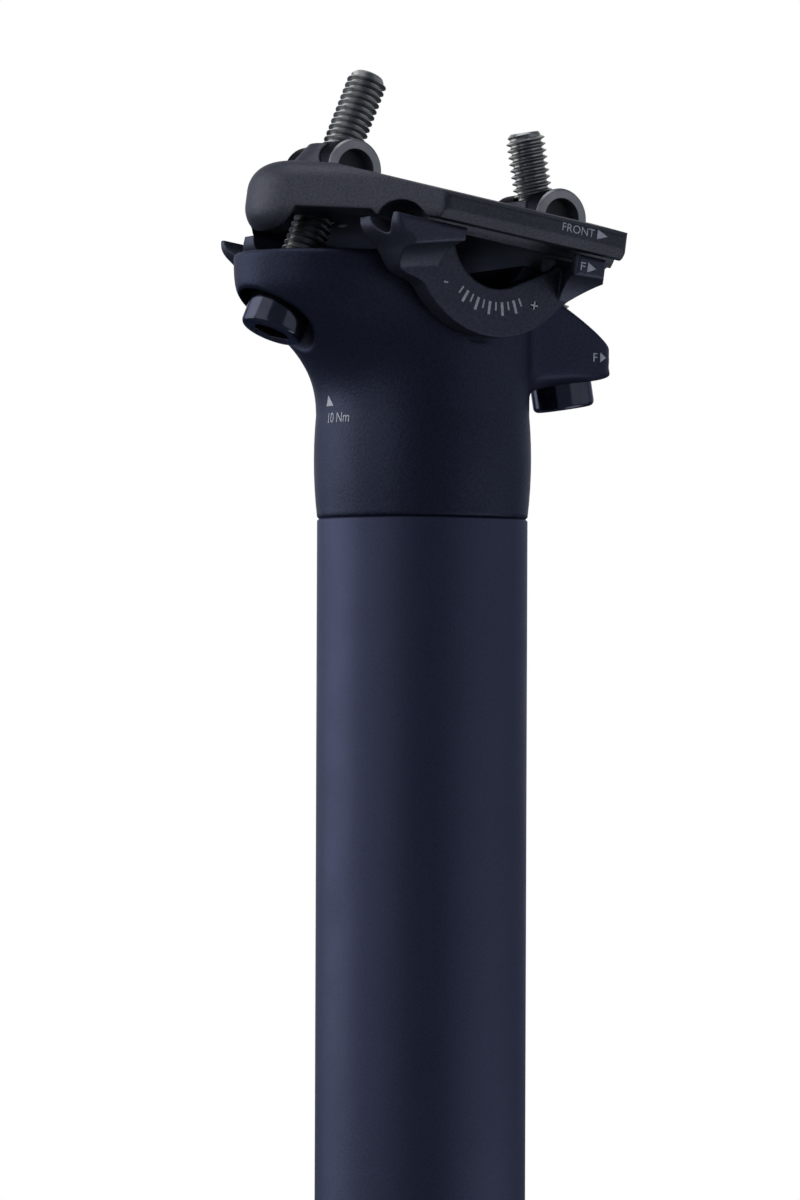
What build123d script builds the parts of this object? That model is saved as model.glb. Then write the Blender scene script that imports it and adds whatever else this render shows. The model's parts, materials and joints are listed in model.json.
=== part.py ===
"""Bicycle seatpost with a two-bolt saddle clamp.

Millimetres. +X is forward on the bicycle, +Y left, +Z up along the post. The origin is the foot of the
tube. The clamp is drawn about the tilt axis, on planes that lean forward with it: x forward along the
saddle rails, z up through the two clamp halves.
"""
import os
from math import cos, radians, sin, tan, tau

from build123d import *

# Post tube
tube_radius = 31.6 / 2
tube_wall = 2.5
post_length = 400.0                 # foot of the tube to the tilt axis
axis_above_seam = 40.7              # tilt axis above the joint of tube and head
seam_height = post_length - axis_above_seam
seam_groove = 0.3
foot_chamfer = 0.6                  # inside the open foot

# Tilt axis and the clamp's lean as photographed
axis_forward = 1.1
lean = 8.2

# Head
spigot_depth = 30.0
spigot_wall = 3.0
bond_gap = 0.05
collar_height = 15.5                # seam to the start of the neck
collar_bulge = 0.45                 # the collar swells by this between the seam and the neck
collar_cavity = 6.0                 # height of the hollow cone inside the collar
body_radius = 16.0
rear_ear = (30.9, 16.3, 2.1)        # reach, underside above the collar, and power of the flare below it
front_ear = (30.4, 6.1, 5.5)
front_taper = 0.43                  # slope of the line from the axis to the blunt front ear's shoulder
ear_top = -2.0                      # below the tilt axis, as the slope's start is
front_slope = 28.9                  # the front ear falls away by this angle
front_slope_start = (11.4, -4.6)
ear_rounding = 0.8
side_flat = 15.85                   # half the width of the machined sides
flat_margin = 0.7                   # the machined sides reach past the flanges by this

# Lower clamp
seat_radius = 11.5
seat_gap = 0.05
pipe_bore = 7.5
flange_radius = 14.5
flange_gap = 0.1
flange_inside = side_flat + flange_gap
flange_outside = 19.5
flange_top = -0.95                  # tops of the rail cradles
pipe_top = -2.5
cradle_rear = (-21.4, -9.4)         # the rear cradle's length along the rail
cradle_front = (9.2, 19.6)
cradle_inside = 17.3
cradle_outside = 26.8
cradle_rear_wall = (5.0, 2.0)       # height of the outer wall at the rear cradle's two ends
cradle_front_wall = (3.3, 2.8)
cradle_front_corner = (14.4, 18.5)  # its outer front corner is cut off from here, along and across the rail
cradle_rounding = 0.8
gusset_drop = 3.0                   # hollow from the foot of the outer wall down to the flange
gusset_radius = 8.5
flange_tail = ((-18.3, -4.6), (-15.6, -7.6))     # the flange's rear edge sweeps down through these
flange_round = ((-11.1, -9.33), (11.8, -8.43))   # ends of its round lower edge
window_rear = (-7.0, -2.7)
window_front = ((11.6, -0.95), (10.0, -2.9), (3.75, -6.5))

# Saddle rails
rail_radius = 3.5
rail_spacing = 44.0
rail_y = rail_spacing / 2
groove_depth = 2.45                 # of the rail grooves in the cradles

# Upper clamp
rear_nose = (-19.6, 10.9)           # centre and radius in plan
front_nose = (17.6, 10.2)
rear_flank = (0.2, 47.4)            # the sides of each nose run on to here, past the wings
front_flank = (6.2, 49.5)
wing_half_width = 28.0
wing_corner = 1.6
wing_chamfer = (1.0, 1.4)           # across and up, along the wings' lower edges
wing_edge = (0.8, 0.7)              # and their upper edges
rail_land = (4.2, 3.6)              # the step down from the plate to the wings, in from the rail
wing_bottom = -0.45
wing_top = 3.5
roof_edge = (10.0, 7.3)             # half width and height of the roof's ridge
roof_top = 7.8
groove_top = 1.8                    # crown of the upper rail groove
plate_bottom = 0.3
lobe_bottom = -3.0
lobe_top = 7.3
nose_rounding = (4.2, 4.4)          # rounding of the noses below and above
lobe_inner = -27.6                  # the rear nose hangs down only behind this
boss_cone = ((6.0, 7.8), (11.4, 4.0))     # height and radius of the wall behind each nut, below and above
boss_wall = 2.4

# Screws, nuts and washers
nut_offset = 18.2                   # nuts lie this far before and behind the tilt axis
nut_height = 7.7
nut_radius = 4.5
nut_half_length = 7.0
nut_gap = 0.04
nut_end_gap = 0.25
nut_chamfer = 0.3
nut_recess = (3.0, 2.5)             # radius and depth of the blind hole in each end
thread_bore = 3.15
shank_radius = 2.68                 # mean radius of the thread
shank_length = 36.4
screw_head_radius = 4.7
screw_head_height = 6.0
screw_head_rounding = 0.8
shank_chamfer = 0.5
socket_across_flats = 5.0
socket_depth = 3.2
rear_screw_lean = 23.2              # forward at the top, from the post's axis
front_screw_lean = -10.0
rear_seat = 20.25                   # screw head's face below the nut's axis
front_seat = 22.8
washer_radius = 4.7
washer_bore = 3.1
washer_crown = 1.8
dish_radius = 12.0
dish_gap = 0.03
rear_pocket = 6.4
front_pocket = 5.2
ear_hole_radius = 4.0
clamp_hole_radius = 3.5
tilt_down = 12.0                    # range of the tilt from the photographed lean
tilt_up = 3.0
tilt_margin = 1.0                   # the screw holes allow this much more

clear = 100.0                       # reach of cuts that run clear of the part

# Frames
pivot = Vector(axis_forward, 0, post_length)
along = Vector(cos(radians(lean)), 0, -sin(radians(lean)))
upward = Vector(sin(radians(lean)), 0, cos(radians(lean)))
clamp_plan = Plane(pivot, x_dir=along, z_dir=upward)
clamp_side = Plane(pivot, x_dir=along, z_dir=(0, -1, 0))
clamp_end = Plane(pivot, x_dir=(0, 1, 0), z_dir=along)
post_side = Plane((axis_forward, 0, post_length), x_dir=(1, 0, 0), z_dir=(0, -1, 0))


def screw_plane(nut_x, screw_lean):
    """Plane on a nut's centre, y up along its screw, seen from the right."""
    centre = pivot + along * nut_x + upward * nut_height
    turned = Vector(cos(radians(screw_lean)), 0, -sin(radians(screw_lean)))
    return Plane(centre, x_dir=turned, z_dir=(0, -1, 0))


rear_screw_plane = screw_plane(-nut_offset, rear_screw_lean)
front_screw_plane = screw_plane(nut_offset, front_screw_lean)


def screw_axis(plane):
    return Axis(plane.origin, plane.y_dir)


def ear_reach(rise, reach, underside, power):
    """Reach of the head's skin above the collar: it flares out, then stands upright as the ear's end."""
    flare = (rise / underside) ** power
    return body_radius + (reach - body_radius) * flare / (flare ** 7 + 1) ** (1 / 7)


def skin_outline(rear, front):
    """Smooth plan outline of the head: a round body drawn out to a round rear ear and a blunt front ear."""
    points = []
    for step in range(32):
        angle = tau * step / 32
        if cos(angle) > 0:
            radius = body_radius + (front - body_radius) / (1 + abs(tan(angle) / front_taper) ** 5)
        else:
            radius = body_radius + (rear - body_radius) * cos(angle) ** 4
        points.append((radius * cos(angle), radius * sin(angle)))
    return add(Edge.make_spline(points, periodic=True, parameters=[step / 32 for step in range(33)]))


# Tube
with BuildPart() as post_tube:
    with BuildSketch():
        Circle(tube_radius)
        Circle(tube_radius - tube_wall, mode=Mode.SUBTRACT)
    extrude(amount=seam_height)
    chamfer(post_tube.edges().group_by(Axis.Z)[0].sort_by(SortBy.RADIUS)[0], foot_chamfer)
    chamfer(post_tube.edges().group_by(Axis.Z)[-1].sort_by(SortBy.RADIUS)[-1], seam_groove)
post_tube.part.label = "post_tube"

# Head: spigot and collar turned, one skin lofted up to the two ears, then cut for the clamp and screws
spigot_radius = tube_radius - tube_wall - bond_gap
collar_top = seam_height + collar_height
neck_height = axis_above_seam + ear_top - collar_height
with BuildPart() as head:
    with BuildSketch(Plane.XZ):
        with BuildLine():
            Polyline(
                (spigot_radius - spigot_wall, seam_height - spigot_depth),
                (spigot_radius, seam_height - spigot_depth),
                (spigot_radius, seam_height),
                (tube_radius - seam_groove, seam_height),
                (tube_radius, seam_height + seam_groove),
            )
            Spline(
                (tube_radius, seam_height + seam_groove),
                (tube_radius + collar_bulge, seam_height + 0.75 * collar_height),
                (body_radius, collar_top),
            )
            Polyline(
                (body_radius, collar_top),
                (0, collar_top),
                (0, seam_height + collar_cavity),
                (spigot_radius - spigot_wall, seam_height),
                (spigot_radius - spigot_wall, seam_height - spigot_depth),
            )
        make_face()
    revolve(axis=Axis.Z)

    with BuildSketch(Plane.XY.offset(collar_top)):
        Circle(body_radius)
    for step in range(1, 25):
        rise = neck_height * step / 24
        with BuildSketch(Plane.XY.offset(collar_top + rise)):
            with BuildLine():
                skin_outline(ear_reach(rise, *rear_ear), ear_reach(rise, *front_ear))
            make_face()
    loft()

    # everything above the sloping front is taken off
    slope_x, slope_z = front_slope_start
    with BuildSketch(post_side):
        with BuildLine():
            Polyline(
                (slope_x, slope_z),
                (slope_x + clear, slope_z - clear * tan(radians(front_slope))),
                (slope_x + clear, clear),
                (slope_x - clear, clear),
                (slope_x, slope_z),
                close=True,
            )
        make_face()
    extrude(amount=clear, both=True, mode=Mode.SUBTRACT)

    # round seat of the lower clamp, and the flats its flanges turn on
    with BuildSketch(clamp_side):
        Circle(seat_radius + seat_gap)
    extrude(amount=clear, both=True, mode=Mode.SUBTRACT)
    for side in (1, -1):
        with BuildSketch(clamp_side.offset(side * side_flat)):
            Circle(flange_radius + flat_margin)
        extrude(amount=side * clear, mode=Mode.SUBTRACT)

    rear_top = head.faces().filter_by_position(Axis.Z, post_length + ear_top - 0.01, post_length)
    slope_normal_x = sin(radians(front_slope))
    slope_top = head.faces().filter_by(lambda face: abs(face.normal_at().X - slope_normal_x) < 0.01)
    for ear_face in (rear_top, slope_top):
        fillet(ear_face.edges().filter_by(GeomType.BSPLINE), ear_rounding)

    # pockets for the screw heads, with a dished floor for the washers, and the holes above them
    for plane, seat, pocket in (
        (rear_screw_plane, rear_seat, rear_pocket),
        (front_screw_plane, front_seat, front_pocket),
    ):
        floor = washer_crown - seat
        centre = floor - dish_radius
        dish = dish_radius + dish_gap
        rim = centre + (dish ** 2 - pocket ** 2) ** 0.5
        with BuildSketch(plane):
            with BuildLine():
                Polyline((0, centre + dish), (0, -clear), (pocket, -clear), (pocket, rim))
                RadiusArc((pocket, rim), (0, centre + dish), -dish)
            make_face()
        revolve(axis=screw_axis(plane), mode=Mode.SUBTRACT)
        with BuildSketch(Plane(plane.origin, z_dir=plane.y_dir).offset(floor - washer_crown)):
            Circle(ear_hole_radius)
        extrude(amount=clear, mode=Mode.SUBTRACT)
head.part.label = "head"

# Lower clamp: a half pipe in the head's seat, a flange and two rail cradles on each side

def cradle_section(place, wall):
    """Section of a rail cradle at a place along the rail, hollowed under its outer wall."""
    foot = flange_top - wall
    with BuildSketch(clamp_end.offset(place)) as section:
        with BuildLine():
            Polyline(
                (-flange_outside, foot - gusset_drop),
                (-cradle_inside, foot - gusset_drop),
                (-cradle_inside, flange_top),
                (-cradle_outside, flange_top),
                (-cradle_outside, foot),
            )
            RadiusArc((-cradle_outside, foot), (-flange_outside, foot - gusset_drop), gusset_radius)
        make_face()
    return section.sketch


with BuildPart() as lower_clamp:
    with BuildSketch(clamp_side):
        Circle(seat_radius)
        Circle(pipe_bore, mode=Mode.SUBTRACT)
        with Locations((0, pipe_top + clear)):
            Rectangle(2 * clear, 2 * clear, mode=Mode.SUBTRACT)
    extrude(amount=flange_inside, both=True)

    rear_end, rear_inner = cradle_rear
    front_inner, front_end = cradle_front
    window_end = window_front[0][0]
    with BuildSketch(clamp_side, mode=Mode.PRIVATE) as flange_outline:
        with BuildLine():
            Spline(
                (rear_end, flange_top),
                *flange_tail,
                flange_round[0],
                tangents=((0, -1), (0.643, -0.766)),
            )
            RadiusArc(*flange_round, -flange_radius)
            Polyline(flange_round[1], (front_end, flange_top), *window_front)
            RadiusArc(window_front[-1], window_rear, pipe_bore)
            Polyline(window_rear, (rear_inner, flange_top), (rear_end, flange_top))
        make_face()

    with BuildPart(mode=Mode.PRIVATE) as cradles:
        for (start, end), walls in ((cradle_rear, cradle_rear_wall), (cradle_front, cradle_front_wall)):
            loft([cradle_section(start, walls[0]), cradle_section(end, walls[1])])
        with BuildSketch(clamp_side):
            add(flange_outline.sketch_local)
            with BuildLine():
                Polyline((rear_inner, flange_top), window_rear, *reversed(window_front), close=True)
            make_face()
        extrude(amount=clear, mode=Mode.INTERSECT)
        corner_x, corner_y = cradle_front_corner
        for corner in (
            ((front_end, -corner_y), (corner_x, -cradle_outside), (front_end, -cradle_outside)),
            ((window_end, -flange_outside), (front_inner, -cradle_outside), (front_inner, -cradle_inside)),
        ):
            with BuildSketch(clamp_plan):
                with BuildLine():
                    Polyline(*corner, close=True)
                make_face()
            extrude(amount=clear, both=True, mode=Mode.SUBTRACT)
        fillet(cradles.faces().filter_by(Axis.Y).group_by(Axis.Y)[0].edges(), cradle_rounding)
    with BuildSketch(clamp_side.offset(flange_inside)):
        add(flange_outline.sketch_local)
    extrude(amount=flange_outside - flange_inside)
    add(cradles)
    with BuildSketch(clamp_end):
        with Locations((-rail_y, flange_top + rail_radius - groove_depth)):
            Circle(rail_radius)
    extrude(amount=clear, both=True, mode=Mode.SUBTRACT)
    mirror(about=Plane.XZ)
lower_clamp.part.label = "lower_clamp"

# Upper clamp: a roofed plate between two noses, with seats for the nuts and grooves for the rails
with BuildPart() as upper_clamp:
    with BuildSketch(clamp_end):
        with BuildLine():
            Polyline(
                (0, plate_bottom),
                (rail_y - rail_land[0], plate_bottom),
                (rail_y - rail_land[1], wing_bottom),
                (wing_half_width - wing_chamfer[0], wing_bottom),
                (wing_half_width, wing_bottom + wing_chamfer[1]),
                (wing_half_width, wing_top - wing_edge[1]),
                (wing_half_width - wing_edge[0], wing_top),
                roof_edge,
                (0, roof_top),
                close=True,
            )
        make_face()
        mirror(about=Plane.YZ)
        with Locations((rail_y, groove_top - rail_radius), (-rail_y, groove_top - rail_radius)):
            Circle(rail_radius, mode=Mode.SUBTRACT)
    extrude(amount=clear, both=True)

    # plan: two round noses whose sides run on past the wings
    with BuildSketch(clamp_plan, mode=Mode.PRIVATE) as nose_plan:
        for centre, radius in (rear_nose, front_nose):
            with Locations((centre, 0)):
                Circle(radius)
        for x, y in (rear_flank, front_flank):
            with Locations((x, y), (x, -y)):
                Circle(wing_corner)
        make_hull()
    with BuildSketch(clamp_plan) as wing_plan:
        add(nose_plan.sketch_local)
        Rectangle(2 * clear, 2 * wing_half_width, mode=Mode.INTERSECT)
        tips = wing_plan.vertices().filter_by(lambda corner: abs(corner.Y) > wing_half_width - 0.1)
        fillet(tips, wing_corner)
    extrude(amount=clear, both=True, mode=Mode.INTERSECT)
    with BuildSketch(clamp_plan.offset(lobe_bottom)):
        add(nose_plan.sketch_local)
        with Locations((lobe_inner + clear, 0)):
            Rectangle(2 * clear, 2 * clear, mode=Mode.SUBTRACT)
    extrude(amount=lobe_top - lobe_bottom)

    # the noses are rounded off above and below, all along their sides
    with BuildPart(mode=Mode.PRIVATE) as rounded:
        with BuildSketch(clamp_plan.offset(lobe_bottom)):
            add(nose_plan.sketch_local)
            Rectangle(2 * clear, 2.6 * wing_half_width, mode=Mode.INTERSECT)
        extrude(amount=roof_top - lobe_bottom)
        levels = rounded.edges().group_by(Axis(pivot, upward))
        for level, radius in zip((levels[0], levels[-1]), nose_rounding):
            fillet(level.filter_by(lambda edge: abs(edge.center().Y) < wing_half_width), radius)
    add(rounded, mode=Mode.INTERSECT)
    for nut_x in (-nut_offset, nut_offset):
        with BuildPart(mode=Mode.PRIVATE) as boss:
            for height, radius in boss_cone:
                with BuildSketch(clamp_plan.offset(height)):
                    with Locations((nut_x, 0)):
                        Circle(radius)
                        with Locations((clear - boss_wall, 0)):
                            Rectangle(2 * clear, 2 * clear, mode=Mode.SUBTRACT)
            loft()
        add(boss)

    # seats for the nuts, and the holes that let the screws swing as the clamp tilts
    for nut_x, screw_lean in ((-nut_offset, rear_screw_lean), (nut_offset, front_screw_lean)):
        with BuildSketch(clamp_side):
            with Locations((nut_x, nut_height)):
                Circle(nut_radius + nut_gap)
        extrude(amount=nut_half_length + nut_end_gap, both=True, mode=Mode.SUBTRACT)
        swings = [
            screw_plane(nut_x, screw_lean + tilt_up + tilt_margin),
            screw_plane(nut_x, screw_lean - tilt_down - tilt_margin),
        ]
        for swung in swings:
            with BuildSketch(Plane(swung.origin, z_dir=swung.y_dir)):
                Circle(clamp_hole_radius)
            extrude(amount=clear, both=True, mode=Mode.SUBTRACT)
        for reach in (clear, -clear):
            ends = [clamp_side.to_local_coords(swung.origin + swung.y_dir * reach) for swung in swings]
            first, last = ends
            with BuildSketch(clamp_side):
                with BuildLine():
                    Polyline((nut_x, nut_height), (first.X, first.Y), (last.X, last.Y), close=True)
                make_face()
            extrude(amount=clamp_hole_radius, both=True, mode=Mode.SUBTRACT)
upper_clamp.part.label = "upper_clamp"


def barrel_nut(plane):
    with BuildPart() as nut:
        with BuildSketch(plane):
            Circle(nut_radius)
        extrude(amount=nut_half_length, both=True)
        chamfer(nut.edges().filter_by(GeomType.CIRCLE), nut_chamfer)
        recess_radius, recess_depth = nut_recess
        for side in (1, -1):
            with BuildSketch(plane.offset(side * nut_half_length)):
                Circle(recess_radius)
            extrude(amount=-side * recess_depth, mode=Mode.SUBTRACT)
        with BuildSketch(Plane(plane.origin, z_dir=plane.y_dir)):
            Circle(thread_bore)
        extrude(amount=clear, both=True, mode=Mode.SUBTRACT)
    return nut.part


def dished_washer(plane, seat):
    crown = washer_crown - seat
    rim = crown - dish_radius + (dish_radius ** 2 - washer_radius ** 2) ** 0.5
    inner = crown - dish_radius + (dish_radius ** 2 - washer_bore ** 2) ** 0.5
    with BuildPart() as washer:
        with BuildSketch(plane):
            with BuildLine():
                Polyline(
                    (washer_bore, inner),
                    (washer_bore, -seat),
                    (washer_radius, -seat),
                    (washer_radius, rim),
                )
                RadiusArc((washer_radius, rim), (washer_bore, inner), -dish_radius)
            make_face()
        revolve(axis=screw_axis(plane))
    return washer.part


def cap_screw(plane, seat):
    downward = Plane(plane.origin, x_dir=(0, 1, 0), z_dir=-plane.y_dir)
    with BuildPart() as screw:
        with BuildSketch(Plane(plane.origin, z_dir=plane.y_dir).offset(-seat)):
            Circle(shank_radius)
        extrude(amount=shank_length)
        chamfer(screw.edges().filter_by(GeomType.CIRCLE).sort_by(screw_axis(plane))[-1], shank_chamfer)
        with BuildSketch(downward.offset(seat)):
            Circle(screw_head_radius)
        extrude(amount=screw_head_height)
        fillet(screw.edges().filter_by(GeomType.CIRCLE).sort_by(screw_axis(plane))[0], screw_head_rounding)
        with BuildSketch(downward.offset(seat + screw_head_height)):
            RegularPolygon(socket_across_flats / 2, 6, major_radius=False)
        extrude(amount=-socket_depth, mode=Mode.SUBTRACT)
    return screw.part


with BuildPart() as rear_nut:
    add(barrel_nut(rear_screw_plane))
rear_nut.part.label = "rear_nut"

with BuildPart() as front_nut:
    add(barrel_nut(front_screw_plane))
front_nut.part.label = "front_nut"

with BuildPart() as rear_washer:
    add(dished_washer(rear_screw_plane, rear_seat))
rear_washer.part.label = "rear_washer"

with BuildPart() as front_washer:
    add(dished_washer(front_screw_plane, front_seat))
front_washer.part.label = "front_washer"

with BuildPart() as rear_screw:
    add(cap_screw(rear_screw_plane, rear_seat))
rear_screw.part.label = "rear_screw"

with BuildPart() as front_screw:
    add(cap_screw(front_screw_plane, front_seat))
front_screw.part.label = "front_screw"

os.makedirs("parts", exist_ok=True)
for piece in (post_tube, head, lower_clamp, upper_clamp, rear_nut, front_nut, rear_washer, front_washer,
              rear_screw, front_screw):
    export_step(piece.part, f"parts/{piece.part.label}.step")
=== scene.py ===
"""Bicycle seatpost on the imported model: finishes, screw threads, printed marks, a studio and a camera."""
import json
from math import cos, pi, radians, sin, tau

import bmesh
import bpy
from mathutils import Matrix, Vector
from mathutils.bvhtree import BVHTree


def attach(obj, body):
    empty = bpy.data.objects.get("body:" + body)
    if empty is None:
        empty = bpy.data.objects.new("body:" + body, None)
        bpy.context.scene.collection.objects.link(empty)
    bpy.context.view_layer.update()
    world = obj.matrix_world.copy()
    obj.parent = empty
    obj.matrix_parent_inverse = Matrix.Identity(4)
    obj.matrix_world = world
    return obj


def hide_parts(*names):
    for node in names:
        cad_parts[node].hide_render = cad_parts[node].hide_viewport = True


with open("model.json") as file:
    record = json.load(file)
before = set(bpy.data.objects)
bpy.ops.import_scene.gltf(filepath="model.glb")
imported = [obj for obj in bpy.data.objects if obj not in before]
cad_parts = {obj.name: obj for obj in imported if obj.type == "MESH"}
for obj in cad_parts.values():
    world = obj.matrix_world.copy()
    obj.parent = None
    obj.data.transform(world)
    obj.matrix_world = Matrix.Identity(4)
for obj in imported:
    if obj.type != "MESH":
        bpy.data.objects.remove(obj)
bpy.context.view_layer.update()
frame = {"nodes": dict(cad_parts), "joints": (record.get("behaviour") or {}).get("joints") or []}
nodes = frame["nodes"]
joints = {joint["name"]: joint for joint in frame["joints"]}
scene = bpy.context.scene
MM = 0.001

# The clamp's own axes, which lean forward about the tilt axis: along the rails, and up through the clamp
lean = radians(8.2)
pivot = Vector(joints["saddle_tilt"]["pos_m"])
along = Vector((cos(lean), 0, -sin(lean)))
upward = Vector((sin(lean), 0, cos(lean)))
right_side = Vector((0, -1, 0))

# Screws, in millimetres
pitch = 1.0
crest_radius = 2.98
root_radius = 2.38
tip_inset = 0.25
screw_head_radius = 4.7
screw_head_height = 6.0
seat_chamfer = 0.25
end_rounding = 0.8
socket_across_flats = 5.0
socket_mouth_radius = 3.1
socket_mouth_depth = 0.35
socket_depth = 3.2
drill_point_depth = 0.9
drill_point_radius = 0.02

# A thread's profile, in shares of the pitch from the middle of a root
root_end = 0.125
crest_start = 0.4375

# Facets of the screws, and the angle from which an edge of theirs is sharp
around_head = 72
around_thread = 48
rounding_steps = 5
sharp_angle = radians(24)

# Nuts, in millimetres: their bare ends start here along the axis, and inside here they are hollow
nut_bare_from = 6.68
nut_ring_inside = 3.02

# Marks on the clamp, in millimetres from the tilt axis along the clamp's axes, and degrees between ticks
flange_face = 19.5
wing_face = 28.0
cradle_face = 26.8
tick_count = 11
tick_step = 6.1
tick_inner = 9.45
tick_short = 10.7
tick_long = 11.4
tick_widths = (0.27, 0.44)

# Marks on the head, in metres: planes outside its front ear and behind its collar
ear_plane = Vector((0.0, -0.016, 0.3841))
collar_plane = Vector((-0.022, 0.0, 0.3740))

# How far printed ink stands proud, and how far outside a mark's plane its rays start, in millimetres
ink_lift = 0.02
ray_start = 5


# Material nodes

def new_material(name):
    """Material with its node tree, its shader and the place on the object."""
    material = bpy.data.materials.new(name)
    material.use_nodes = True
    tree = material.node_tree
    place = tree.nodes.new("ShaderNodeTexCoord")
    return material, tree, tree.nodes["Principled BSDF"], place.outputs["Object"]


def noise(tree, place, size_mm, detail=3):
    """Noise whose blotches are about this size."""
    node = tree.nodes.new("ShaderNodeTexNoise")
    node.inputs["Scale"].default_value = 1 / (size_mm * MM)
    node.inputs["Detail"].default_value = detail
    tree.links.new(place, node.inputs["Vector"])
    return node.outputs["Fac"]


def ramp(tree, value, dark, light, low=0.35, high=0.65):
    """Colour between two tones as a value goes from low to high."""
    node = tree.nodes.new("ShaderNodeValToRGB")
    for stop, at, tone in zip(node.color_ramp.elements, (low, high), (dark, light)):
        stop.position = at
        stop.color = (*tone, 1)
    tree.links.new(value, node.inputs["Fac"])
    return node.outputs["Color"]


def spread(tree, value, first, last, low=0.3, high=0.7):
    """Number from first to last as a value goes from low to high."""
    node = tree.nodes.new("ShaderNodeMapRange")
    node.inputs["From Min"].default_value = low
    node.inputs["From Max"].default_value = high
    node.inputs["To Min"].default_value = first
    node.inputs["To Max"].default_value = last
    tree.links.new(value, node.inputs["Value"])
    return node.outputs["Result"]


def slope(tree, value, low, high, start=0.0):
    """Smooth climb from start to 1 as a value goes from low to high."""
    node = tree.nodes.new("ShaderNodeMapRange")
    node.interpolation_type = "SMOOTHSTEP"
    node.inputs["From Min"].default_value = low
    node.inputs["From Max"].default_value = high
    node.inputs["To Min"].default_value = start
    tree.links.new(value, node.inputs["Value"])
    return node.outputs["Result"]


def maths(tree, operation, first, second):
    """One operation on a value, with a second value or a plain number."""
    node = tree.nodes.new("ShaderNodeMath")
    node.operation = operation
    tree.links.new(first, node.inputs[0])
    if isinstance(second, float):
        node.inputs[1].default_value = second
    else:
        tree.links.new(second, node.inputs[1])
    return node.outputs["Value"]


def blend(tree, share, first, second):
    """Colour from first to second by share."""
    node = tree.nodes.new("ShaderNodeMix")
    node.data_type = "RGBA"
    tree.links.new(share, node.inputs[0])
    tree.links.new(first, node.inputs[6])
    tree.links.new(second, node.inputs[7])
    return node.outputs[2]


def bump(tree, height, depth_mm, strength, edge_mm):
    """Fine relief over edges that are broken by a small rounding."""
    edge = tree.nodes.new("ShaderNodeBevel")
    edge.samples = 6
    edge.inputs["Radius"].default_value = edge_mm * MM
    node = tree.nodes.new("ShaderNodeBump")
    node.inputs["Distance"].default_value = depth_mm * MM
    node.inputs["Strength"].default_value = strength
    tree.links.new(height, node.inputs["Height"])
    tree.links.new(edge.outputs["Normal"], node.inputs["Normal"])
    return node.outputs["Normal"]


def plug(tree, shader, **values):
    """Feed a shader's sockets, which are named here in lower case with _ for a space."""
    for name, value in values.items():
        tree.links.new(value, shader.inputs[name.replace("_", " ").title()])


def metal(shader, metallic, edge_tint):
    """Constant parts of a metal: how metallic it is, and the tint of its grazing reflections."""
    shader.inputs["Metallic"].default_value = metallic
    shader.inputs["Specular Tint"].default_value = (*edge_tint, 1)


# Finishes

def blasted(name, dark, light, roughness, edge_tint, edge_mm, grain_mm):
    """Aluminium, blasted to a fine even grain and anodised."""
    material, tree, shader, place = new_material(name)
    clouds = noise(tree, place, size_mm=9)
    grain = noise(tree, place, grain_mm, detail=2)
    plug(
        tree, shader,
        base_color=ramp(tree, grain, dark, light),
        roughness=spread(tree, clouds, roughness - 0.03, roughness + 0.04),
        normal=bump(tree, grain, depth_mm=grain_mm / 3, strength=0.5, edge_mm=edge_mm),
    )
    metal(shader, metallic=0.85, edge_tint=edge_tint)
    return material


def oxide(name, dark, light, roughness, edge_tint, edge_mm):
    """Steel under a thin dark oxide, smooth and glossy."""
    material, tree, shader, place = new_material(name)
    clouds = noise(tree, place, size_mm=1.6, detail=4)
    grain = noise(tree, place, size_mm=0.25, detail=2)
    plug(
        tree, shader,
        base_color=ramp(tree, clouds, dark, light),
        roughness=spread(tree, clouds, roughness - 0.04, roughness + 0.06),
        normal=bump(tree, grain, depth_mm=0.01, strength=0.25, edge_mm=edge_mm),
    )
    metal(shader, metallic=0.95, edge_tint=edge_tint)
    return material


def barrel(name, centre):
    """Black barrel nut about a cross axis through centre, whose ends are turned to bare metal rings."""
    material, tree, shader, place = new_material(name)
    shift = tree.nodes.new("ShaderNodeMapping")
    shift.inputs["Location"].default_value = -centre
    tree.links.new(place, shift.inputs["Vector"])
    parts = tree.nodes.new("ShaderNodeSeparateXYZ")
    tree.links.new(shift.outputs["Vector"], parts.inputs["Vector"])
    outward = maths(tree, "ABSOLUTE", parts.outputs["Y"], 0.0)
    squares = [maths(tree, "MULTIPLY", parts.outputs[axis], parts.outputs[axis]) for axis in ("X", "Z")]
    radius = maths(tree, "SQRT", maths(tree, "ADD", *squares), 0.0)
    outside = maths(tree, "GREATER_THAN", radius, nut_ring_inside * MM)
    at_end = maths(tree, "GREATER_THAN", outward, nut_bare_from * MM)
    turned_ring = maths(tree, "MULTIPLY", outside, at_end)

    turning_lines = tree.nodes.new("ShaderNodeTexWave")
    turning_lines.wave_type = "RINGS"
    turning_lines.rings_direction = "Y"
    turning_lines.inputs["Scale"].default_value = 2200
    turning_lines.inputs["Distortion"].default_value = 1.5
    tree.links.new(shift.outputs["Vector"], turning_lines.inputs["Vector"])

    clouds = noise(tree, place, size_mm=2.5, detail=4)
    # Inside the rings the nut is a lighter grey than its black barrel: painted light that lifts the shade
    # in this hollow.
    hollow_painted_lit = ramp(tree, clouds, (0.17, 0.17, 0.18), (0.21, 0.21, 0.22))
    black = ramp(tree, clouds, (0.020, 0.021, 0.025), (0.026, 0.027, 0.032))
    bare = ramp(tree, clouds, (0.25, 0.25, 0.255), (0.31, 0.31, 0.315))
    plug(
        tree, shader,
        base_color=blend(tree, turned_ring, blend(tree, outside, hollow_painted_lit, black), bare),
        roughness=spread(tree, outside, first=0.8, last=0.4),
        normal=bump(tree, turning_lines.outputs["Fac"], depth_mm=0.01, strength=0.3, edge_mm=0.15),
    )
    metal(shader, metallic=0.95, edge_tint=(0.3, 0.3, 0.33))
    return material


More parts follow.
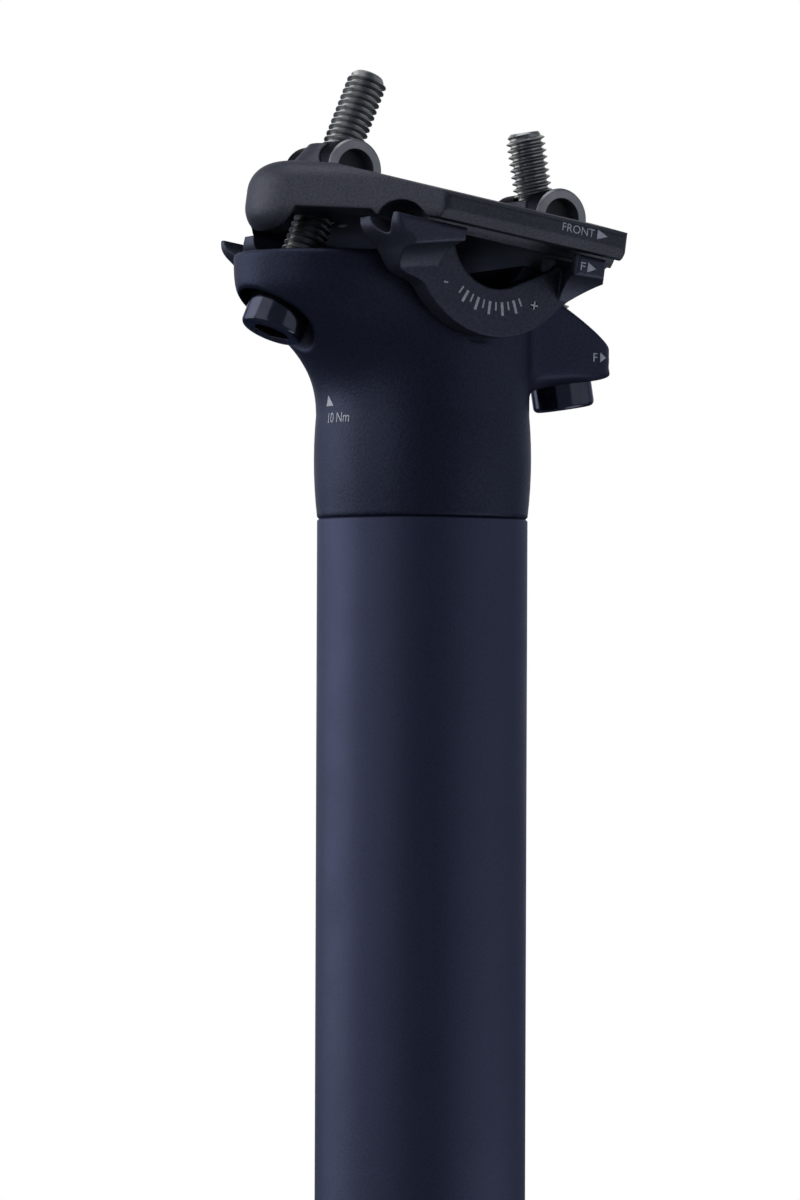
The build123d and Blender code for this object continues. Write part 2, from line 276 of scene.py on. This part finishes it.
def printed(name, dark, light):
    """Pad-printed ink, a little worn."""
    material, tree, shader, place = new_material(name)
    wear = noise(tree, place, size_mm=0.5)
    plug(
        tree, shader,
        base_color=ramp(tree, wear, dark, light),
        roughness=spread(tree, wear, first=0.5, last=0.65),
    )
    return material


def coat(node, material):
    """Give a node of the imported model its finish."""
    nodes[node].data.materials.clear()
    nodes[node].data.materials.append(material)


post_black = blasted(
    "post_black", dark=(0.044, 0.048, 0.083), light=(0.054, 0.058, 0.099),
    roughness=0.46, edge_tint=(0.46, 0.48, 0.56), edge_mm=0.2, grain_mm=0.2,
)
neck_black = blasted(
    "neck_black", dark=(0.026, 0.029, 0.048), light=(0.034, 0.037, 0.060),
    roughness=0.44, edge_tint=(0.46, 0.48, 0.56), edge_mm=0.9, grain_mm=0.34,
)
clamp_black = blasted(
    "clamp_black", dark=(0.049, 0.050, 0.061), light=(0.066, 0.067, 0.081),
    roughness=0.45, edge_tint=(0.44, 0.45, 0.50), edge_mm=0.45, grain_mm=0.34,
)
cradle_black = blasted(
    "cradle_black", dark=(0.044, 0.047, 0.064), light=(0.060, 0.064, 0.087),
    roughness=0.45, edge_tint=(0.44, 0.45, 0.50), edge_mm=0.45, grain_mm=0.34,
)
coat("post_tube", post_black)
coat("head", neck_black)
coat("lower_clamp", cradle_black)
coat("upper_clamp", clamp_black)
for nut in ("rear_nut", "front_nut"):
    nut_axis_place = Vector(joints[f"{nut}_turn"]["pos_m"])
    coat(nut, barrel(f"{nut}_metal", nut_axis_place))
head_black = oxide(
    "screw_head_black", dark=(0.054, 0.057, 0.075), light=(0.064, 0.067, 0.087),
    roughness=0.15, edge_tint=(0.4, 0.4, 0.48), edge_mm=0.12,
)
thread_grey = oxide(
    "thread_grey", dark=(0.24, 0.24, 0.24), light=(0.33, 0.33, 0.325),
    roughness=0.32, edge_tint=(0.8, 0.8, 0.8), edge_mm=0.03,
)
coat("rear_washer", head_black)
coat("front_washer", head_black)


# Screws with real threads

def round_point(radius, angle, height):
    """Point at an angle round a screw's axis."""
    return Vector((radius * cos(angle), radius * sin(angle), height))


def ring_points(radius, height):
    """Points round the head."""
    return [round_point(radius, tau * i / around_head, height) for i in range(around_head)]


def hexagon_points(height):
    """Points round the socket, with one on each of its corners."""
    points = []
    for i in range(around_head):
        angle = tau * i / around_head
        off_corner = (angle + pi / 6) % (pi / 3) - pi / 6
        radius = socket_across_flats / 2 / cos(pi / 6 - abs(off_corner))
        points.append(round_point(radius, angle, height))
    return points


def bridge(mesh, lower, upper):
    """Faces between two closed loops of as many points."""
    count = len(lower)
    for i in range(count):
        mesh.faces.new((lower[i], lower[(i + 1) % count], upper[(i + 1) % count], upper[i]))


def screw_head(mesh, end):
    """Round head with a hexagon socket, from its seat down to its end."""
    seat = end + screw_head_height
    profile = [
        (root_radius, seat),
        (screw_head_radius - seat_chamfer, seat),
        (screw_head_radius, seat - seat_chamfer),
    ]
    for step in range(rounding_steps + 1):
        turn = pi / 2 * step / rounding_steps
        radius = screw_head_radius - end_rounding + end_rounding * cos(turn)
        profile.append((radius, end + end_rounding - end_rounding * sin(turn)))
    loops = [ring_points(radius, height) for radius, height in profile]
    loops.append(ring_points(socket_mouth_radius, end))
    loops.append(hexagon_points(end + socket_mouth_depth))
    loops.append(hexagon_points(end + socket_depth))
    loops.append(ring_points(drill_point_radius, end + socket_depth + drill_point_depth))
    rings = [[mesh.verts.new(point * MM) for point in loop] for loop in loops]
    for upper, lower in zip(rings, rings[1:]):
        bridge(mesh, lower, upper)


def thread_radius(phase):
    """Radius across one pitch, from the middle of a root: flat roots and crests, straight flanks."""
    off_root = min(phase, 1 - phase)
    share = min(max((off_root - root_end) / (crest_start - root_end), 0), 1)
    return root_radius + (crest_radius - root_radius) * share


def screw_thread(mesh, low, high, material_index):
    """Right-hand helical strips from the head to the chamfered tip."""
    strips = []
    for turn in range(-1, int((high - low) / pitch) + 1):
        for phase in (root_end, crest_start, 1 - crest_start, 1 - root_end):
            strip = []
            for i in range(around_thread + 1):
                height = min(max(low + pitch * (turn + phase + i / around_thread), low), high)
                share = (height - low) / pitch - i / around_thread
                radius = min(thread_radius(share % 1), root_radius - tip_inset + (high - height))
                strip.append(mesh.verts.new(round_point(radius, tau * i / around_thread, height) * MM))
            strips.append(strip)
    tip = mesh.verts.new(Vector((0, 0, high)) * MM)
    corners = []
    for lower, upper in zip(strips, strips[1:]):
        corners += [(lower[i], lower[i + 1], upper[i + 1], upper[i]) for i in range(around_thread)]
    corners += [(strips[-1][i], strips[-1][i + 1], tip) for i in range(around_thread)]
    for face_corners in corners:
        mesh.faces.new(face_corners).material_index = material_index


def cap_screw(name, node, turn_joint):
    """Socket screw in a node's place, on the axis that points from its head to its tip through the nut."""
    centre = Vector(turn_joint["pos_m"])
    axis = -Vector(turn_joint["axis"])
    heights = [(vert.co - centre).dot(axis) / MM for vert in nodes[node].data.vertices]
    mesh = bmesh.new()
    screw_head(mesh, min(heights))
    screw_thread(mesh, min(heights) + screw_head_height, max(heights), material_index=1)
    bmesh.ops.remove_doubles(mesh, verts=mesh.verts, dist=1e-6)
    bmesh.ops.dissolve_degenerate(mesh, edges=mesh.edges, dist=1e-7)
    bmesh.ops.recalc_face_normals(mesh, faces=mesh.faces)
    for face in mesh.faces:
        face.smooth = True
    for edge in mesh.edges:
        edge.smooth = edge.calc_face_angle(pi) < sharp_angle
    data = bpy.data.meshes.new(name)
    mesh.to_mesh(data)
    mesh.free()
    data.materials.append(head_black)
    data.materials.append(thread_grey)
    side = Vector((0, 1, 0))
    turned_to = Matrix((side.cross(axis), side, axis)).transposed()
    data.transform(Matrix.Translation(centre) @ turned_to.to_4x4())
    screw = bpy.data.objects.new(name, data)
    scene.collection.objects.link(screw)
    return screw


for node in ("rear_screw", "front_screw"):
    screw = cap_screw(f"{node}_threaded", node, joints[f"{node}_turn"])
    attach(screw, node)
    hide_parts(node)


# Printed marks: each shape is its points, in millimetres on its plane, and its faces

ink = printed("print_grey", dark=(0.36, 0.37, 0.40), light=(0.48, 0.49, 0.53))


def outline(points):
    """Shape of one face."""
    return points, [tuple(range(len(points)))]


def box_mark(x, z, width, height, turn=0.0):
    """Bar centred at x, z and turned clockwise by turn."""
    corners = []
    for right, top in ((-1, -1), (1, -1), (1, 1), (-1, 1)):
        across = right * width / 2
        up = top * height / 2
        corners.append((x + across * cos(turn) + up * sin(turn), z - across * sin(turn) + up * cos(turn)))
    return outline(corners)


def plus_mark(x, z, size, width):
    """Plus sign centred at x, z."""
    far = size / 2
    near = width / 2
    steps = ((far, -near), (far, near), (near, near), (near, far), (-near, far), (-near, near),
             (-far, near), (-far, -near), (-near, -near), (-near, -far), (near, -far), (near, -near))
    return outline([(x + across, z + up) for across, up in steps])


def arrow_mark(x, z, length, height):
    """Arrow head that points to the right, with the middle of its back at x, z."""
    return outline([(x, z - height / 2), (x + length, z), (x, z + height / 2)])


def triangle_mark(x, z, width, height):
    """Triangle that points up, with the middle of its foot at x, z."""
    return outline([(x - width / 2, z), (x + width / 2, z), (x, z + height)])


def letter_mesh(words, x, z, height, width):
    """Outline letters, filled, with their lower left corner at x, z."""
    text = bpy.data.curves.new("letters", "FONT")
    text.body = words
    text.resolution_u = 3
    carrier = bpy.data.objects.new("letters", text)
    filled = bpy.data.meshes.new_from_object(carrier)
    low = [min(vert.co[i] for vert in filled.vertices) for i in (0, 1)]
    high = [max(vert.co[i] for vert in filled.vertices) for i in (0, 1)]
    points = []
    for vert in filled.vertices:
        across = (vert.co.x - low[0]) * width / (high[0] - low[0])
        up = (vert.co.y - low[1]) * height / (high[1] - low[1])
        points.append((x + across, z + up))
    faces = [tuple(face.vertices) for face in filled.polygons]
    bpy.data.objects.remove(carrier)
    bpy.data.curves.remove(text)
    bpy.data.meshes.remove(filled)
    return points, faces


def print_on(name, node, body, shapes, origin, right, up):
    """Lay shapes, drawn on the plane at origin, on a node's face behind that plane."""
    mesh = bmesh.new()
    for points, faces in shapes:
        verts = [mesh.verts.new((across, height, 0)) for across, height in points]
        for face in faces:
            mesh.faces.new([verts[i] for i in face])
    bmesh.ops.triangulate(mesh, faces=mesh.faces)
    bmesh.ops.subdivide_edges(mesh, edges=mesh.edges, cuts=3, use_grid_fill=True)
    inward = up.cross(right)
    source = nodes[node].data
    surface = BVHTree.FromPolygons(
        [vert.co for vert in source.vertices], [face.vertices for face in source.polygons]
    )
    for vert in mesh.verts:
        start = origin + (right * vert.co.x + up * vert.co.y) * MM - inward * ray_start * MM
        hit = surface.ray_cast(start, inward)[0]
        vert.co = hit - inward * ink_lift * MM
    data = bpy.data.meshes.new(name)
    mesh.to_mesh(data)
    mesh.free()
    data.materials.append(ink)
    mark = bpy.data.objects.new(name, data)
    scene.collection.objects.link(mark)
    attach(mark, body)


scale = []
for number in range(tick_count):
    angle = radians(tick_step * (number - tick_count // 2))
    outer = tick_long if number % 2 else tick_short
    middle = (tick_inner + outer) / 2
    width = tick_widths[number % 2]
    scale.append(box_mark(middle * sin(angle), -middle * cos(angle), width, outer - tick_inner, -angle))
scale.append(box_mark(x=-7.85, z=-8.1, width=0.7, height=0.26))
scale.append(plus_mark(x=7.6, z=-8.65, size=1.2, width=0.27))
flange_plane = pivot + right_side * flange_face * MM
print_on("tilt_scale", "lower_clamp", "lower_clamp", scale, flange_plane, along, upward)

front_word = [
    letter_mesh("FRONT", x=5.5, z=1.5, height=1.2, width=5.6),
    arrow_mark(x=11.6, z=2.1, length=1.8, height=1.45),
]
wing_plane = pivot + right_side * wing_face * MM
print_on("front_mark", "upper_clamp", "upper_clamp", front_word, wing_plane, along, upward)

cradle_arrow = [
    letter_mesh("F", x=10.2, z=-3.35, height=1.2, width=0.8),
    arrow_mark(x=11.4, z=-2.75, length=1.5, height=1.5),
]
cradle_plane = pivot + right_side * cradle_face * MM
print_on("cradle_mark", "lower_clamp", "lower_clamp", cradle_arrow, cradle_plane, along, upward)

ear_arrow = [
    letter_mesh("F", x=25.0, z=-0.65, height=1.3, width=0.9),
    arrow_mark(x=26.6, z=0.1, length=1.5, height=1.5),
]
print_on("ear_mark", "head", "post", ear_arrow, ear_plane, Vector((1, 0, 0)), Vector((0, 0, 1)))

torque = [
    letter_mesh("10 Nm", x=-0.4, z=-0.75, height=1.5, width=5.0),
    triangle_mark(x=0, z=1.75, width=2.0, height=1.6),
]
print_on("torque_mark", "head", "post", torque, collar_plane, Vector((0, -1, 0)), Vector((0, 0, 1)))


# Studio, in metres: the camera looks level at the head from behind, on the right side

view_turn = radians(-31.0)
look = Vector((-sin(view_turn), cos(view_turn), 0))
right_of_view = Vector((cos(view_turn), sin(view_turn), 0))
head_place = Vector((0, 0, 0.37))
panel_colour = (0.97, 0.98, 1.0)
room_colour = (0.12, 0.145, 0.19)

# Metal sees the white backdrop to this angle from the way the camera looks, and whole within the second
backdrop_edge = radians(70)
backdrop_whole = radians(28)

# The backdrop fades out below the horizon, as a ray's part along z goes down to this
backdrop_foot = -0.1

floor_radius = 1.1
floor_drop = 0.0005
fade_start = 0.1
fade_end = floor_radius * 0.95
paled_at_start = 0.45

photo_height = 1200
frame_right_pixels = -21.7
frame_up_pixels = 92
camera_place = (-0.3605, -0.6000, 0.3334)
camera_roll = radians(0.21)


def soft_panel(name, degrees, height, distance, size, brightness):
    """Panel facing the head, at an angle to the right of the camera's side and a height above the head."""
    angle = radians(degrees)
    light = bpy.data.lights.new(name, "AREA")
    light.shape = "RECTANGLE"
    light.size, light.size_y = size
    light.energy = brightness * pi * size[0] * size[1]
    light.color = panel_colour
    lamp = bpy.data.objects.new(name, light)
    lamp.location = head_place - look * distance * cos(angle) + right_of_view * distance * sin(angle)
    lamp.location.z += height
    lamp.rotation_euler = (head_place - lamp.location).to_track_quat("-Z", "Y").to_euler()
    lamp.visible_camera = False
    scene.collection.objects.link(lamp)


soft_panel("left_front", degrees=-50, height=0.25, distance=1.0, size=(0.9, 1.1), brightness=0.65)
soft_panel("left_back", degrees=-105, height=0.25, distance=1.0, size=(1.0, 1.1), brightness=2.0)
soft_panel("right_side", degrees=76, height=-0.05, distance=1.0, size=(1.7, 0.8), brightness=0.38)
soft_panel("right_low", degrees=92, height=-0.25, distance=0.18, size=(0.25, 0.2), brightness=1.2)
soft_panel("top", degrees=-90, height=1.0, distance=0.2, size=(0.8, 0.8), brightness=2.0)

# The world is a dim bluish room, whose white backdrop shows to the camera and in the metal
world = bpy.data.worlds.new("studio")
world.use_nodes = True
scene.world = world
sky = world.node_tree
path = sky.nodes.new("ShaderNodeLightPath")
ray_way = sky.nodes.new("ShaderNodeTexCoord")


def ray_part(direction):
    """A ray's part along a direction."""
    node = sky.nodes.new("ShaderNodeVectorMath")
    node.operation = "DOT_PRODUCT"
    node.inputs[1].default_value = direction
    sky.links.new(ray_way.outputs["Generated"], node.inputs[0])
    return node.outputs["Value"]


ahead = slope(sky, ray_part(look), cos(backdrop_edge), cos(backdrop_whole))
above_floor = slope(sky, ray_part((0, 0, 1)), backdrop_foot, 0.0)
backdrop = maths(sky, "MULTIPLY", ahead, above_floor)
mirrored = maths(sky, "MAXIMUM", path.outputs["Is Glossy Ray"], path.outputs["Is Transmission Ray"])
seen = maths(sky, "MAXIMUM", path.outputs["Is Camera Ray"], maths(sky, "MULTIPLY", mirrored, backdrop))
room = sky.nodes.new("ShaderNodeMix")
room.data_type = "RGBA"
room.inputs[6].default_value = (*room_colour, 1)
room.inputs[7].default_value = (1, 1, 1, 1)
sky.links.new(seen, room.inputs[0])
sky.links.new(room.outputs[2], sky.nodes["Background"].inputs["Color"])


def pale_floor():
    """Floor that to the camera is pale, and fades into the white backdrop towards its rim."""
    material, tree, shader, place = new_material("floor_pale")
    blotches = noise(tree, place, size_mm=120)
    plug(tree, shader, base_color=ramp(tree, blotches, (0.80, 0.80, 0.81), (0.84, 0.84, 0.85)))
    shader.inputs["Roughness"].default_value = 0.8
    reach = tree.nodes.new("ShaderNodeVectorMath")
    reach.operation = "LENGTH"
    tree.links.new(place, reach.inputs[0])
    fade = slope(tree, reach.outputs["Value"], fade_start, fade_end, paled_at_start)
    rays = tree.nodes.new("ShaderNodeLightPath")
    white = tree.nodes.new("ShaderNodeEmission")
    paled = tree.nodes.new("ShaderNodeMixShader")
    tree.links.new(maths(tree, "MULTIPLY", fade, rays.outputs["Is Camera Ray"]), paled.inputs["Fac"])
    tree.links.new(shader.outputs["BSDF"], paled.inputs[1])
    tree.links.new(white.outputs["Emission"], paled.inputs[2])
    tree.links.new(paled.outputs["Shader"], tree.nodes["Material Output"].inputs["Surface"])
    return material


floor_mesh = bmesh.new()
bmesh.ops.create_circle(floor_mesh, cap_ends=True, radius=floor_radius, segments=128)
floor_data = bpy.data.meshes.new("floor")
floor_mesh.to_mesh(floor_data)
floor_mesh.free()
floor_data.materials.append(pale_floor())
floor = bpy.data.objects.new("floor", floor_data)
floor.location.z = -floor_drop
floor.visible_glossy = False
scene.collection.objects.link(floor)

# Camera: level, just below the head, with the frame shifted up and left to hold the post as in the photo
camera_data = bpy.data.cameras.new("camera")
camera_data.lens = 140
camera_data.sensor_width = 36
camera_data.shift_x = frame_right_pixels / photo_height
camera_data.shift_y = frame_up_pixels / photo_height
camera = bpy.data.objects.new("camera", camera_data)
upright = Matrix.Rotation(pi / 2, 4, "X") @ Matrix.Rotation(camera_roll, 4, "Z")
camera.matrix_world = Matrix.Translation(camera_place) @ Matrix.Rotation(view_turn, 4, "Z") @ upright
scene.collection.objects.link(camera)
scene.camera = camera
scene.view_settings.view_transform = "Standard"
